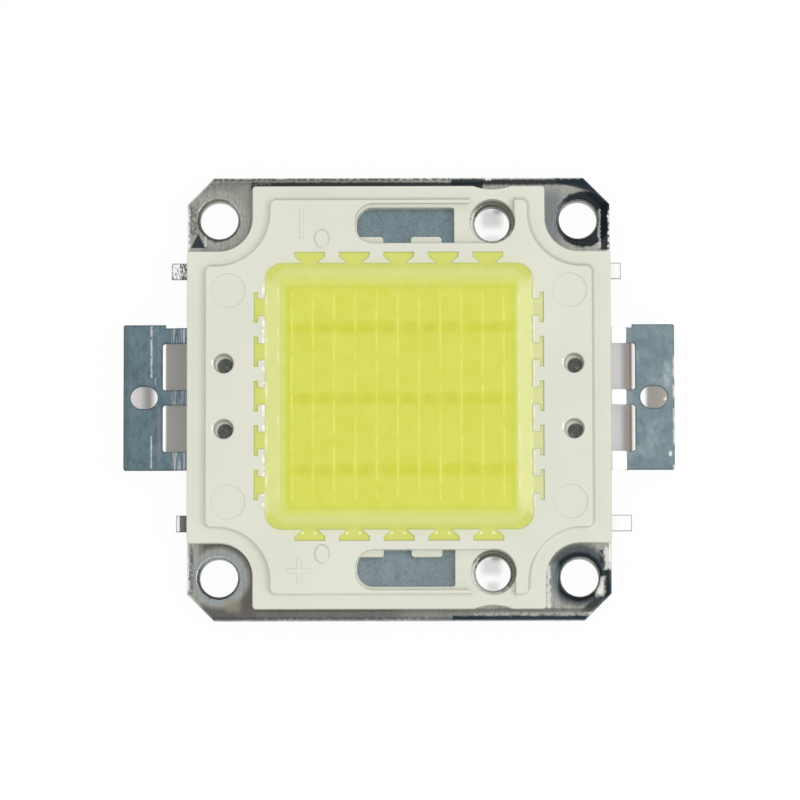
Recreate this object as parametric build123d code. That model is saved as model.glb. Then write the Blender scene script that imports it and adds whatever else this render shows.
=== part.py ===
from build123d import *
from math import atan, degrees
import os

# Integrated high-power LED of the 30 W class: thirty blue dies on a plated metal base plate,
# inside a moulded plastic frame with two stamped leads, under phosphor-filled silicone.
# Millimetres. x runs from lead to lead, y across, z up from the underside of the base plate.

# Base plate
plate_lip = 1.0
plate_thickness = 2.0
plate_corner_cut = 2.5
plate_edge_round = 0.2

# Screw holes in the corners of the base plate
screw_edge_distance = 3.0
screw_hole_diameter = 3.6
screw_hole_break = 0.3

# Two locating holes, which go through frame and plate
locating_x = 8.85
locating_window_distance = 4.0
locating_hole_diameter = 3.3
locating_hole_break = 0.25
locating_ring_width = 0.5

# Moulded rivets that hold the frame on the plate
rivet_window_distance = 3.5
rivet_y = 10.0
rivet_diameter = 2.0
rivet_head_diameter = 3.0
rivet_head_height = 0.7
rivet_recess = 0.1

# Fine V-grooves pressed into the plate between the columns of dies
groove_width = 0.16
groove_depth = 0.06
groove_margin = 0.8

# Window over the dies, with a ledge inside it
window_width = 25.2
window_length = 25.2
window_corner_radius = 1.55
window_draft = 6.0
ledge_width = 1.45
cup_slope_run = 0.35
cup_corner_radius = 0.8

# Frame round the window
side_border = 7.4
end_border = 7.4
flange_height = 1.6
step_height = 0.7
step_inset_x = 1.65
step_inset_y = 1.25
step_bite_reach_x = 4.75
step_bite_reach_y = 4.55
step_bite_radius = 5.0
step_draft = 12.0
step_cove = 0.45
step_corner_radius = 0.7
step_edge_round = 0.1
screw_clearance_radius = 3.2
outline_corner_radius = 0.3
flange_edge_round = 0.1

# Locking keys, where the silicone runs into pockets of the frame
key_count = 5
key_corner_distance = 4.2
key_reach = 1.05
key_depth = 0.9
key_head_width = 2.85
dovetail_head_depth = 0.42
dovetail_neck_width = 1.35
stem_head_depth = 0.35
stem_width = 1.6

# Slots that show the plate beside the window, in a recess at flange level
slot_left = 3.95
slot_right = 5.25
slot_wall = 0.85
slot_edge_margin = 2.05
recess_margin = 0.33
slot_end_radius = 1.5
slot_end_share = 0.45
slot_corner_radius = 0.25
tab_depth = 0.65
tab_corner_radius = 0.3
left_tab_end = -1.45
right_tab_start = 1.16
right_tab_end = 4.06
channel_width = 4.25
edge_notch_width = 3.65
edge_notch_depth = 0.35

# Small marks of the mould on the frame
pin_hole_window_distance = 3.9
pin_hole_pitch_y = 6.2
pin_hole_diameter = 1.9
pin_hole_draft = 6.0
ejector_mark_diameter = 3.25
ejector_mark_depth = 0.05
gate_x = 7.25
gate_window_distance = 2.3
gate_width = 1.5
gate_length = 1.85
gate_height = 0.18
gate_draft = 40.0

# Soft rims of what is sunk into the frame
window_rim_round = 0.08
recess_rim_round = 0.1
slot_rim_round = 0.05
pin_hole_rim_round = 0.12

# Leads
lead_gap = 0.6
lead_thickness = 0.4
lead_drop = 0.3
lead_bend_start = 0.1
lead_bend_run = 1.35
lead_bend_radius = 0.45
strip_width = 1.3
strip_length = 20.0
strip_bar_width = 5.5
neck_root = 1.4
neck_length = 2.3
centre_neck_width = 1.44
neck_window_width = 4.4
neck_window_radius = 0.25
side_neck_width = 1.48
tab_length = 3.7
tab_shoulder = 0.3
tab_shoulder_length = 4.0
tab_outer_radius = 0.2
wire_hole_length = 2.55
wire_hole_width = 2.1
wire_hole_edge = 0.675
anchor_hole_diameter = 1.6
anchor_hole_x = 2.2
anchor_hole_pitch_y = 15.6

# Cut ends of the tie bars that held the leads in their strip
tie_bar_y = 11.95
tie_bar_width = 1.55
tie_bar_buried = 2.6
tie_bar_head_width = 2.6
tie_bar_head_depth = 0.8
left_back_stub = 1.45
left_front_stub = 1.0
right_back_stub = 1.0
right_front_stub = 1.9

# Dies, their bond layer and their wires
die_columns = 10
die_rows = 3
die_lead_distance = 2.3
die_cup_distance = 4.45
die_size = 1.14
die_thickness = 0.15
bond_layer_thickness = 0.03
bond_layer_margin = 0.06
wire_diameter = 0.06
wire_pad_inset = 0.16
wire_rise = 0.22
wire_steep_run = 0.12
wire_lead_landing = 0.5

# Silicone
silicone_sag = 0.25
silicone_dish = 0.15

# Levels and places worked out from the sizes above
frame_width = window_width + 2 * side_border
frame_length = window_length + 2 * end_border
plate_width = frame_width
plate_length = frame_length + 2 * plate_lip
screw_pitch_x = frame_width - 2 * screw_edge_distance
screw_pitch_y = frame_length - 2 * screw_edge_distance
locating_pitch_y = window_length + 2 * locating_window_distance
rivet_x = window_width / 2 + rivet_window_distance
pin_hole_x = window_width / 2 + pin_hole_window_distance
gate_pitch_y = window_length + 2 * gate_window_distance
flange_top = plate_thickness + flange_height
frame_top = flange_top + step_height
lead_bottom = plate_thickness + lead_gap
ledge_top = lead_bottom + lead_thickness
die_bottom = plate_thickness + bond_layer_thickness
die_top = die_bottom + die_thickness
strip_inner_x = window_width / 2 - strip_width
cup_width = window_width - 2 * ledge_width
cup_length = window_length - 2 * ledge_width
recess_inner_y = window_length / 2 + key_reach + slot_wall
slot_outer_y = frame_length / 2 - slot_edge_margin
slot_end = min(slot_end_radius, slot_end_share * (slot_outer_y - recess_inner_y))
neck_half_span = centre_neck_width / 2 + neck_window_width + side_neck_width
tab_inner_x = frame_width / 2 + neck_length
lead_end_x = tab_inner_x + tab_length
wire_hole_x = lead_end_x - wire_hole_edge - wire_hole_length / 2
die_pitch_x = 2 * (strip_inner_x - die_lead_distance) / (die_columns - 1)
die_pitch_y = 2 * (cup_length / 2 - die_cup_distance) / (die_rows - 1)
through = 2 * (frame_top + gate_height)
touching = 0.001


def four_corners(x, y):
    return [(sx * x, sy * y) for sx in (-1, 1) for sy in (-1, 1)]


def block(x_from, x_to, y_from, y_to):
    # Plain rectangle between two pairs of limits.
    middle = ((x_from + x_to) / 2, (y_from + y_to) / 2)
    return Pos(*middle) * Rectangle(x_to - x_from, y_to - y_from)


def standing(sketch, z_from, z_to):
    # Straight prism of a sketch between two levels.
    return Pos(0, 0, z_from) * extrude(sketch, z_to - z_from)


def drafted(sketch, z_top, depth, draft):
    # Prism that narrows downwards from its top outline, as a moulding core leaves it.
    return Pos(0, 0, z_top) * extrude(sketch, -depth, taper=draft)


def broken_edge_hole(x, y, diameter, edge_break):
    # Hole through the plate with both rims bevelled.
    radius = diameter / 2
    bore = Cylinder(radius, through)
    for level, turn in ((0, 180), (plate_thickness, 0)):
        rim = Cone(radius, radius + 2 * edge_break, 2 * edge_break)
        bore += Pos(0, 0, level) * Rot(turn, 0, 0) * rim
    return Pos(x, y) * bore


def rivet(foot):
    # Plastic post through the plate: a stem with a flared head near the underside.
    flare = (rivet_head_diameter - rivet_diameter) / 2
    stem = Cylinder(rivet_diameter / 2, plate_thickness - foot, align=(Align.CENTER, Align.CENTER, Align.MIN))
    head = Cone(
        rivet_head_diameter / 2 - flare * foot / rivet_head_height,
        rivet_diameter / 2,
        rivet_head_height - foot,
        align=(Align.CENTER, Align.CENTER, Align.MIN),
    )
    return Pos(0, 0, foot) * (stem + head)


def base_plate():
    outline = chamfer(Rectangle(plate_width, plate_length).vertices(), plate_corner_cut)
    plate = extrude(outline, plate_thickness)
    plate = fillet(plate.edges().group_by(Axis.Z)[-1], plate_edge_round)
    for x, y in four_corners(screw_pitch_x / 2, screw_pitch_y / 2):
        plate -= broken_edge_hole(x, y, screw_hole_diameter, screw_hole_break)
    for y in (-locating_pitch_y / 2, locating_pitch_y / 2):
        plate -= broken_edge_hole(locating_x, y, locating_hole_diameter, locating_hole_break)
    plate -= [Pos(x, y) * rivet(0) for x, y in four_corners(rivet_x, rivet_y)]
    plate -= grooves()
    return plate


def grooves():
    # One V-groove on each side of every column of dies.
    half = groove_width / 2
    profile = Plane.XZ * make_face(Polyline((-half, 0), (half, 0), (0, -groove_depth), close=True))
    length = cup_length - 2 * cup_slope_run - 2 * groove_margin
    groove = extrude(profile, length / 2, both=True)
    first = -die_columns * die_pitch_x / 2
    return [Pos(first + i * die_pitch_x, 0, plate_thickness) * groove for i in range(die_columns + 1)]


def bitten_outline(width, length, reach_x, reach_y, bite_radius, corner_radius):
    # Rectangle with a round bite at each corner, which clears the screw hole by the reach along x and y.
    bite = block(screw_pitch_x / 2 - reach_x, width, screw_pitch_y / 2 - reach_y, length)
    bite = fillet(bite.vertices().sort_by_distance((0, 0, 0))[0], bite_radius)
    bites = bite + mirror(bite, about=Plane.XZ)
    outline = Rectangle(width, length) - bites - mirror(bites, about=Plane.YZ)
    return fillet([v for v in outline.vertices() if is_sharp(v, outline)], corner_radius)


def frame_shell():
    # Flange with the raised middle standing on it, coved at the foot.
    clearance = screw_clearance_radius
    outline = bitten_outline(frame_width, frame_length, clearance, clearance, clearance, outline_corner_radius)
    raised = bitten_outline(
        frame_width - 2 * step_inset_x,
        frame_length - 2 * step_inset_y,
        step_bite_reach_x,
        step_bite_reach_y,
        step_bite_radius,
        step_corner_radius,
    )
    shell = standing(outline, plate_thickness, flange_top)
    shell = fillet(shell.edges().group_by(Axis.Z)[-1], flange_edge_round)
    step = Pos(0, 0, flange_top) * extrude(raised, step_height, taper=step_draft)
    step = fillet(step.edges().group_by(Axis.Z)[-1], step_edge_round)
    shell += step
    flange_faces = [f for f in shell.faces().filter_by(Plane.XY) if f.inner_wires()]
    foot = [f for f in flange_faces if abs(f.center().Z - flange_top) < touching][0].inner_wires()[0]
    return fillet(foot.edges(), step_cove)


def is_sharp(vertex, sketch):
    # True at the corners of an outline where two straight edges meet.
    meeting = [e for e in sketch.edges() if e.distance_to(vertex) < touching]
    return all(e.geom_type == GeomType.LINE for e in meeting)


def dovetail_key():
    # Pocket that widens outwards from the window edge, seen from above; it points along +y.
    neck = dovetail_neck_width / 2
    head = key_head_width / 2
    shoulder = key_reach - dovetail_head_depth
    points = [(-neck, -key_reach), (neck, -key_reach), (neck, 0), (head, shoulder)]
    points += [(head, key_reach), (-head, key_reach), (-head, shoulder), (-neck, 0)]
    return make_face(Polyline(*points, close=True))


def stem_key():
    # T-shaped pocket: a straight stem and a wide head; it points along +y.
    stem = block(-stem_width / 2, stem_width / 2, -key_reach, key_reach)
    head = block(-key_head_width / 2, key_head_width / 2, key_reach - stem_head_depth, key_reach)
    return stem + head


def key_pockets():
    shapes = Sketch()
    for i in range(key_count):
        place = i / (key_count - 1) - 0.5
        along_x = place * (window_width - 2 * key_corner_distance)
        along_y = place * (window_length - 2 * key_corner_distance)
        for side in (0, 180):
            shapes += Rot(0, 0, side) * Pos(along_x, window_length / 2) * dovetail_key()
            shapes += Rot(0, 0, side + 90) * Pos(along_y, window_width / 2) * stem_key()
    return shapes


def window_space():
    # The space that the silicone fills: window, ledge, cup down to the plate, and keys.
    opening = RectangleRounded(window_width, window_length, window_corner_radius)
    space = drafted(opening, frame_top, frame_top - ledge_top, window_draft)
    cup = RectangleRounded(cup_width, cup_length, cup_corner_radius)
    cup_height = ledge_top - plate_thickness
    slope = degrees(atan(cup_slope_run / cup_height))
    space += drafted(cup, ledge_top, cup_height, slope)
    space += standing(key_pockets(), frame_top - key_depth, frame_top)
    return space


def slot_cut():
    # Slot down to the plate, with two tabs left on the side of the window.
    opening = block(-slot_left, slot_right, recess_inner_y, slot_outer_y)
    ends = opening.vertices().group_by(Axis.X)
    opening = fillet(ends[0], slot_end)
    outer_corner = opening.vertices().group_by(Axis.X)[-1].sort_by(Axis.Y)[-1]
    opening = fillet(outer_corner, slot_corner_radius)
    tab_edge = recess_inner_y + tab_depth
    left_tab = block(-slot_left - slot_end, left_tab_end, recess_inner_y - tab_depth, tab_edge)
    left_tab = fillet(left_tab.vertices().group_by(Axis.X)[-1].sort_by(Axis.Y)[-1], tab_corner_radius)
    right_tab = block(right_tab_start, right_tab_end, recess_inner_y - tab_depth, tab_edge)
    right_tab = fillet(right_tab.vertices().group_by(Axis.Y)[-1], tab_corner_radius)
    return opening - left_tab - right_tab


def recess():
    # Recess at flange level round the slot, which runs on to the locating hole and out at the edge.
    margin = recess_margin
    outer_y = slot_outer_y + margin
    pocket = block(-slot_left - margin / 2, locating_x, recess_inner_y, outer_y)
    pocket = fillet(pocket.vertices().group_by(Axis.X)[0], slot_end + margin / 2)
    half = channel_width / 2
    middle = locating_x - (locating_hole_diameter / 2 + locating_ring_width - half)
    channel = block(middle - half, middle + half, locating_pitch_y / 2, frame_length)
    return pocket + channel


def edge_notch():
    # Shallow round bite in the edge of the frame beside each locating hole.
    radius = (edge_notch_width**2 / 4 + edge_notch_depth**2) / (2 * edge_notch_depth)
    return Pos(locating_x, frame_length / 2 + radius - edge_notch_depth) * Circle(radius)


def side_openings():
    # All that is cut on one long side of the window, for the side towards +y.
    cuts = standing(slot_cut(), plate_thickness, frame_top)
    cuts += standing(recess(), flange_top, frame_top)
    hole = Circle(locating_hole_diameter / 2 + locating_ring_width)
    cuts += standing(Pos(locating_x, locating_pitch_y / 2) * hole, plate_thickness, frame_top)
    cuts += standing(edge_notch(), plate_thickness, frame_top)
    return cuts


def gate_mark():
    # Low stub where the plastic was let into the mould.
    stub = extrude(Ellipse(gate_width / 2, gate_length / 2), gate_height, taper=gate_draft)
    return Pos(0, 0, frame_top) * stub


def rim(shape, level, x_from, x_to, y_from, y_to):
    # Edges that lie flat at a level, within limits of x and of the distance from the middle along y.
    found = []
    for edge in shape.edges():
        box = edge.bounding_box()
        low, high = sorted((abs(box.min.Y), abs(box.max.Y)))
        flat = abs(box.min.Z - level) < touching and abs(box.max.Z - level) < touching
        across = box.min.X > x_from - touching and box.max.X < x_to + touching
        if flat and across and low > y_from - touching and high < y_to + touching:
            found.append(edge)
    return found


def soft_rims(body):
    # Rounds the upper rims of the window with its pockets, the pin holes, the recesses and the slots.
    half_x = window_width / 2 + key_reach
    half_y = window_length / 2 + key_reach
    body = fillet(rim(body, frame_top, -half_x, half_x, 0, half_y), window_rim_round)
    radius = pin_hole_diameter / 2
    for side in (-1, 1):
        middle = side * pin_hole_x
        reach = pin_hole_pitch_y / 2 + radius
        holes = rim(body, frame_top, middle - radius, middle + radius, reach - pin_hole_diameter, reach)
        body = fillet(holes, pin_hole_rim_round)
    recess_end = locating_x + locating_hole_diameter / 2 + locating_ring_width
    pockets = rim(body, frame_top, -slot_left - recess_margin, recess_end, recess_inner_y, slot_outer_y + recess_margin)
    body = fillet(pockets, recess_rim_round)
    slots = rim(body, flange_top, -slot_left, slot_right, recess_inner_y, slot_outer_y)
    slots = [e for e in slots if abs(abs(e.center().Y) - recess_inner_y) > touching]
    return fillet(slots, slot_rim_round)


def frame(buried):
    # Moulded in one piece round the buried metal, which is cut out of it at the end.
    body = frame_shell()
    body += [Pos(x, y) * rivet(rivet_recess) for x, y in four_corners(rivet_x, rivet_y)]
    body -= window_space()
    back = side_openings()
    body -= [back, mirror(back, about=Plane.XZ)]
    pin_hole = Circle(pin_hole_diameter / 2)
    for x, y in four_corners(pin_hole_x, pin_hole_pitch_y / 2):
        body -= drafted(Pos(x, y) * pin_hole, frame_top, frame_top - ledge_top, pin_hole_draft)
    body = soft_rims(body)
    mark = Circle(ejector_mark_diameter / 2)
    for x, y in four_corners(rivet_x, rivet_y):
        body -= standing(Pos(x, y) * mark, frame_top - ejector_mark_depth, frame_top)
    body += [Pos(-gate_x, side * gate_pitch_y / 2) * gate_mark() for side in (-1, 1)]
    return body - buried


def lead_plan():
    # Stamped outline of the right-hand lead, seen from above; its front neck is flush with the tab.
    edge = frame_width / 2
    bar_end = strip_inner_x + strip_bar_width
    neck_start = edge - neck_root
    plan = block(strip_inner_x, bar_end, -strip_length / 2, strip_length / 2)
    plan += block(strip_inner_x, tab_inner_x, -tab_half_width(), neck_half_span)
    tab = block(lead_end_x - tab_shoulder_length, lead_end_x, -tab_half_width(), tab_half_width())
    plan += fillet(tab.vertices().group_by(Axis.X)[-1], tab_outer_radius)
    plan += block(tab_inner_x, lead_end_x - tab_outer_radius, -neck_half_span, neck_half_span)
    window_middle = (centre_neck_width + neck_window_width) / 2
    for side in (-1, 1):
        low = side * window_middle - neck_window_width / 2
        opening = block(neck_start, tab_inner_x, low, low + neck_window_width)
        plan -= fillet(opening.vertices().group_by(Axis.X)[-1], neck_window_radius)
        plan -= Pos(strip_inner_x + anchor_hole_x, side * anchor_hole_pitch_y / 2) * Circle(anchor_hole_diameter / 2)
    plan -= Pos(wire_hole_x, 0) * SlotOverall(wire_hole_length, wire_hole_width)
    return plan


def tab_half_width():
    return neck_half_span + tab_shoulder


def lead():
    # Right-hand lead: a bent strip of sheet metal, trimmed to the stamped outline.
    edge = frame_width / 2
    middle = lead_bottom + lead_thickness / 2
    bend = edge + lead_bend_start
    points = [(strip_inner_x, middle), (bend, middle)]
    points += [(bend + lead_bend_run, middle - lead_drop), (lead_end_x, middle - lead_drop)]
    path = Plane.XZ * FilletPolyline(*points, radius=lead_bend_radius)
    section = Plane(origin=path @ 0, x_dir=(0, 1, 0), z_dir=path % 0) * Rectangle(plate_length, lead_thickness)
    sheet = sweep(section, path=path)
    return sheet & standing(lead_plan(), 0, frame_top)


def tie_bar(stub):
    # Stub of a tie bar on the right-hand side, with a wider head buried in the plastic.
    edge = frame_width / 2
    inner = edge - tie_bar_buried
    plan = block(inner, edge + stub, -tie_bar_width / 2, tie_bar_width / 2)
    plan += block(inner, inner + tie_bar_head_depth, -tie_bar_head_width / 2, tie_bar_head_width / 2)
    return standing(plan, lead_bottom, ledge_top)


def tie_bars():
    back = Pos(0, tie_bar_y)
    front = Pos(0, -tie_bar_y)
    return {
        "tie_bar_right_back": back * tie_bar(right_back_stub),
        "tie_bar_right_front": front * tie_bar(right_front_stub),
        "tie_bar_left_back": mirror(back * tie_bar(left_back_stub), about=Plane.YZ),
        "tie_bar_left_front": mirror(front * tie_bar(left_front_stub), about=Plane.YZ),
    }


def column_x(column):
    return (column - (die_columns - 1) / 2) * die_pitch_x


def row_y(row):
    return (row - (die_rows - 1) / 2) * die_pitch_y


def square_on(x, y, z, size, height):
    return Pos(x, y, z) * Box(size, size, height, align=(Align.CENTER, Align.CENTER, Align.MIN))


def die(row, column):
    return square_on(column_x(column), row_y(row), die_bottom, die_size, die_thickness)


def bond_layer(row):
    # One pad of silver-filled adhesive under each die of the row.
    size = die_size + 2 * bond_layer_margin
    pads = [square_on(column_x(c), row_y(row), plate_thickness, size, bond_layer_thickness)
            for c in range(die_columns)]
    return Compound(pads)


def wire_loop(start, end):
    # Round wire between two pads, each given as (x, level): steep up, across, and down; flush with both pads.
    (x_0, z_0), (x_1, z_1) = start, end
    crown = max(z_0, z_1) + wire_rise
    points = [(x_0, z_0 - wire_diameter), (x_0 + wire_steep_run, crown)]
    points += [(x_1 - wire_steep_run, crown), (x_1, z_1 - wire_diameter)]
    path = Plane.XZ * Polyline(*points)
    section = Plane(origin=path @ 0, z_dir=path % 0) * Circle(wire_diameter / 2)
    wire = sweep(section, path=path, transition=Transition.RIGHT)
    for x, level in (start, end):
        wire -= Pos(x, 0, level) * Box(
            wire_rise, wire_rise, 4 * wire_diameter, align=(Align.CENTER, Align.CENTER, Align.MAX)
        )
    return wire


def bond_wires(row):
    # Wires that join the dies of a row in series, and the row to both leads.
    reach = die_size / 2 - wire_pad_inset
    wires = []
    for column in range(die_columns - 1):
        start = (column_x(column) + reach, die_top)
        end = (column_x(column + 1) - reach, die_top)
        wires.append(wire_loop(start, end))
    last = (column_x(die_columns - 1) + reach, die_top)
    landing = (strip_inner_x + wire_lead_landing, ledge_top)
    right = wire_loop(last, landing)
    wires += [right, mirror(right, about=Plane.YZ)]
    return Compound([Pos(0, row_y(row)) * wire for wire in wires])


def silicone(inside):
    # Fills the window and its keys; the cured top is slightly dished, lowest in the middle.
    space = window_space() + grooves()
    corner = (window_width**2 + window_length**2) / 4
    dish_radius = corner / (2 * silicone_dish)
    lowest = frame_top - silicone_sag
    space -= Pos(0, 0, lowest + dish_radius) * Sphere(dish_radius)
    return space - inside


def main():
    os.makedirs("parts", exist_ok=True)
    right_lead = lead()
    stubs = tie_bars()
    metal = {"left_lead": mirror(right_lead, about=Plane.YZ), "right_lead": right_lead, **stubs}
    dies = {
        f"die_r{row + 1}_c{column + 1:02d}": die(row, column)
        for row in range(die_rows)
        for column in range(die_columns)
    }
    layers = {f"die_attach_row_{row + 1}": bond_layer(row) for row in range(die_rows)}
    wires = {f"bond_wires_row_{row + 1}": bond_wires(row) for row in range(die_rows)}
    sealed = list(dies.values()) + list(layers.values()) + list(wires.values())
    parts = {
        "base_plate": base_plate(),
        "frame": frame(list(metal.values())),
        **metal,
        **layers,
        **dies,
        **wires,
        "silicone": silicone(sealed),
    }
    for name, shape in parts.items():
        export_step(shape, f"parts/{name}.step")


main()
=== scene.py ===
import math
import bpy
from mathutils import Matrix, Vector


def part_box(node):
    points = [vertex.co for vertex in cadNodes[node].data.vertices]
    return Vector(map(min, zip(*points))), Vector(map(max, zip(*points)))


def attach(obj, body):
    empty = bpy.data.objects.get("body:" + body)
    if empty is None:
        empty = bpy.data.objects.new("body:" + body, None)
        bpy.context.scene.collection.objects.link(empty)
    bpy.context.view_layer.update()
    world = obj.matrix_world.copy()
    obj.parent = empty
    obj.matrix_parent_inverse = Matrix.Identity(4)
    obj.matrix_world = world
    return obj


# Looks of an integrated high-power LED: moulded nylon frame, plated base plate and leads, phosphor silicone.
# The model is in metres. Patterns and the dictionaries are in millimetres, except where a note says metres.

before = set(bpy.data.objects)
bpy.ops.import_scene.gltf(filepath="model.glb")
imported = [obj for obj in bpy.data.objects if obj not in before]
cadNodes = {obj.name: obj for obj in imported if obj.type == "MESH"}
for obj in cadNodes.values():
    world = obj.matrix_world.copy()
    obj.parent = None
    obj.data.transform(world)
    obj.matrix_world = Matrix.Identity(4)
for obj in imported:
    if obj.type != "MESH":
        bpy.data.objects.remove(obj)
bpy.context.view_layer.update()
mm = 0.001
print("frame loaded,", len(cadNodes), "nodes")


def linearColour(hexCode):
    channels = [int(hexCode[i:i + 2], 16) / 255 for i in (1, 3, 5)]
    return (*(c / 12.92 if c <= 0.04045 else ((c + 0.055) / 1.055) ** 2.4 for c in channels), 1.0)


def addNode(tree, kind, links=(), out=None, **settings):
    # Adds one node and gives back its output. Links are sockets or fixed values, in order or by input name.
    node = tree.nodes.new("ShaderNode" + kind)
    for name, value in settings.items():
        setattr(node, name, value)
    inputs = [socket for socket in node.inputs if socket.enabled]
    for key, value in (links.items() if isinstance(links, dict) else enumerate(links)):
        socket = inputs[key] if isinstance(key, int) else next(s for s in inputs if s.name == key)
        if isinstance(value, bpy.types.NodeSocket):
            tree.links.new(value, socket)
        else:
            socket.default_value = linearColour(value) if isinstance(value, str) else value
    outputs = [socket for socket in node.outputs if socket.enabled]
    return next((s for s in outputs if s.name == out), outputs[0])


def startMaterial(name, **fixed):
    # New material with a Principled surface; fixed values go straight on its sockets.
    # The place that its patterns read is in millimetres.
    material = bpy.data.materials.new(name)
    material.use_nodes = True
    tree = material.node_tree
    surface = next(node for node in tree.nodes if node.type == "BSDF_PRINCIPLED")
    for key, value in fixed.items():
        surface.inputs[key.replace("_", " ")].default_value = value
    metres = addNode(tree, "TexCoord", out="Object")
    place = addNode(tree, "VectorMath", {"Vector": metres, "Scale": 1 / mm}, operation="SCALE")
    return material, tree, surface, place


def combine(tree, operation, *values):
    # Folds several numbers with one operation.
    result = values[0]
    for value in values[1:]:
        result = addNode(tree, "Math", [result, value], operation=operation)
    return result


def mask(tree, *parts):
    # Product of its parts. A part is a number, a socket, or (value, start, end): a smooth step that is
    # 0 up to start and 1 from end on, and that falls instead where start is above end.
    factors = []
    for part in parts:
        if isinstance(part, tuple):
            value, start, end = part
            low, high = (0, 1) if start < end else (1, 0)
            part = addNode(tree, "MapRange", [value, min(start, end), max(start, end), low, high],
                           interpolation_type="SMOOTHSTEP")
        factors.append(part)
    return combine(tree, "MULTIPLY", *factors)


def paint(tree, colour, tone, *parts):
    # Lays a tone over a colour, as far as the mask of the parts covers it.
    return addNode(tree, "Mix", {"Factor": mask(tree, *parts), "A": colour, "B": tone}, data_type="RGBA")


def patch(tree, x, y, box, blur):
    # 1 inside a rectangle (xLow, xHigh, yLow, yHigh), with soft edges.
    xLow, xHigh, yLow, yHigh = box
    return mask(tree, (x, xLow - blur, xLow + blur), (x, xHigh + blur, xHigh - blur),
                (y, yLow - blur, yLow + blur), (y, yHigh + blur, yHigh - blur))


def stamp(tree, colour, x, y, marks, broken=None):
    # Lays marks over a colour: box, blur, tone, cover and whether the noise breaks it up.
    for box, blur, tone, cover, isBroken in marks:
        parts = [broken] if isBroken else []
        colour = paint(tree, colour, tone, patch(tree, x, y, box, blur), cover, *parts)
    return colour


def spots(tree, x, y, places, broken=None):
    # How far any of the places covers a point: box, blur, cover and whether the noise breaks it up.
    covers = []
    for box, blur, cover, isBroken in places:
        parts = [broken] if isBroken else []
        covers.append(mask(tree, patch(tree, x, y, box, blur), cover, *parts))
    return combine(tree, "MAXIMUM", *covers)


def roundedReach(tree, farX, farY, half, corner):
    # Distance from the core of a square with rounded corners: equals corner on its outline.
    flat = addNode(tree, "CombineXYZ", [farX, farY])
    core = addNode(tree, "VectorMath", [flat, (half - corner,) * 3], operation="SUBTRACT")
    positive = addNode(tree, "VectorMath", [core, (0, 0, 0)], operation="MAXIMUM")
    return addNode(tree, "VectorMath", [positive], out="Value", operation="LENGTH")


def reach(tree, place, centre):
    # Distance from an upright axis through a point, in the plane of the base plate.
    flat = addNode(tree, "VectorMath", [place, (1, 1, 0)], operation="MULTIPLY")
    return addNode(tree, "VectorMath", [flat, (*centre, 0)], out="Value", operation="DISTANCE")


def grain(tree, place, size, detail, stretch=(1, 1, 1), turn=0):
    # Cloudy pattern; size is the width of its features in millimetres, stretched by the three factors.
    turned = addNode(tree, "Mapping", {
        "Vector": place, "Rotation": (0, 0, math.radians(turn)), "Scale": tuple(1 / s for s in stretch)})
    return addNode(tree, "TexNoise", {"Vector": turned, "Scale": 1 / size, "Detail": detail})


def relief(tree, surface, height, depth, edgeRound=0):
    # Bump of a real depth in millimetres, on edges that are rounded by edgeRound.
    links = {"Strength": 1, "Distance": depth * mm, "Height": height}
    if edgeRound:
        links["Normal"] = addNode(tree, "Bevel", {"Radius": edgeRound * mm}, samples=6)
    tree.links.new(addNode(tree, "Bump", links), surface.inputs["Normal"])


def rims(tree, width):
    # 1 along the edges of the shape, where a rounded normal leans away from the true one.
    rounded = addNode(tree, "Bevel", {"Radius": width * mm}, samples=6)
    flat = addNode(tree, "NewGeometry", out="Normal")
    lean = addNode(tree, "VectorMath", [rounded, flat], out="Value", operation="DOT_PRODUCT")
    return mask(tree, (lean, 0.995, 0.88))


def steepness(tree):
    # 0 on faces that lie flat, 1 on upright ones.
    up = addNode(tree, "SeparateXYZ", [addNode(tree, "NewGeometry", out="Normal")], out="Z")
    return mask(tree, (addNode(tree, "Math", [up], operation="ABSOLUTE"), 0.9, 0.4))


def finishSurface(tree, surface, colour, pattern, roughness, span=(0.3, 0.7)):
    # Links the colour, and turns the span of a pattern's values into a range of roughness.
    tree.links.new(colour, surface.inputs["Base Color"])
    tree.links.new(addNode(tree, "MapRange", [pattern, *span, *roughness]), surface.inputs["Roughness"])


def dress(material, slot, *names):
    # Gives a finish to CAD nodes or new pieces.
    for name in names:
        piece = bpy.data.objects[name]
        piece.data.materials.clear()
        piece.data.materials.append(material)


def broadLevel(name):
    # Height of the widest flat face of a node that looks up.
    areas = {}
    for face in cadNodes[name].data.polygons:
        if face.normal.z > 0.999:
            level = round(face.center.z, 5)
            areas[level] = areas.get(level, 0) + face.area
    return max(areas, key=areas.get)


# Places that the patterns need, in millimetres, read from the frame
frameTop = broadLevel("frame") / mm
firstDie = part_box("die_r1_c01")
dieX = (firstDie[0].x + firstDie[1].x) / 2 / mm
dieY = (firstDie[0].y + firstDie[1].y) / 2 / mm
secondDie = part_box("die_r1_c02")
diePitchX = (secondDie[0].x - firstDie[0].x) / mm
diePitchY = -dieY


# Frame

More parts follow.
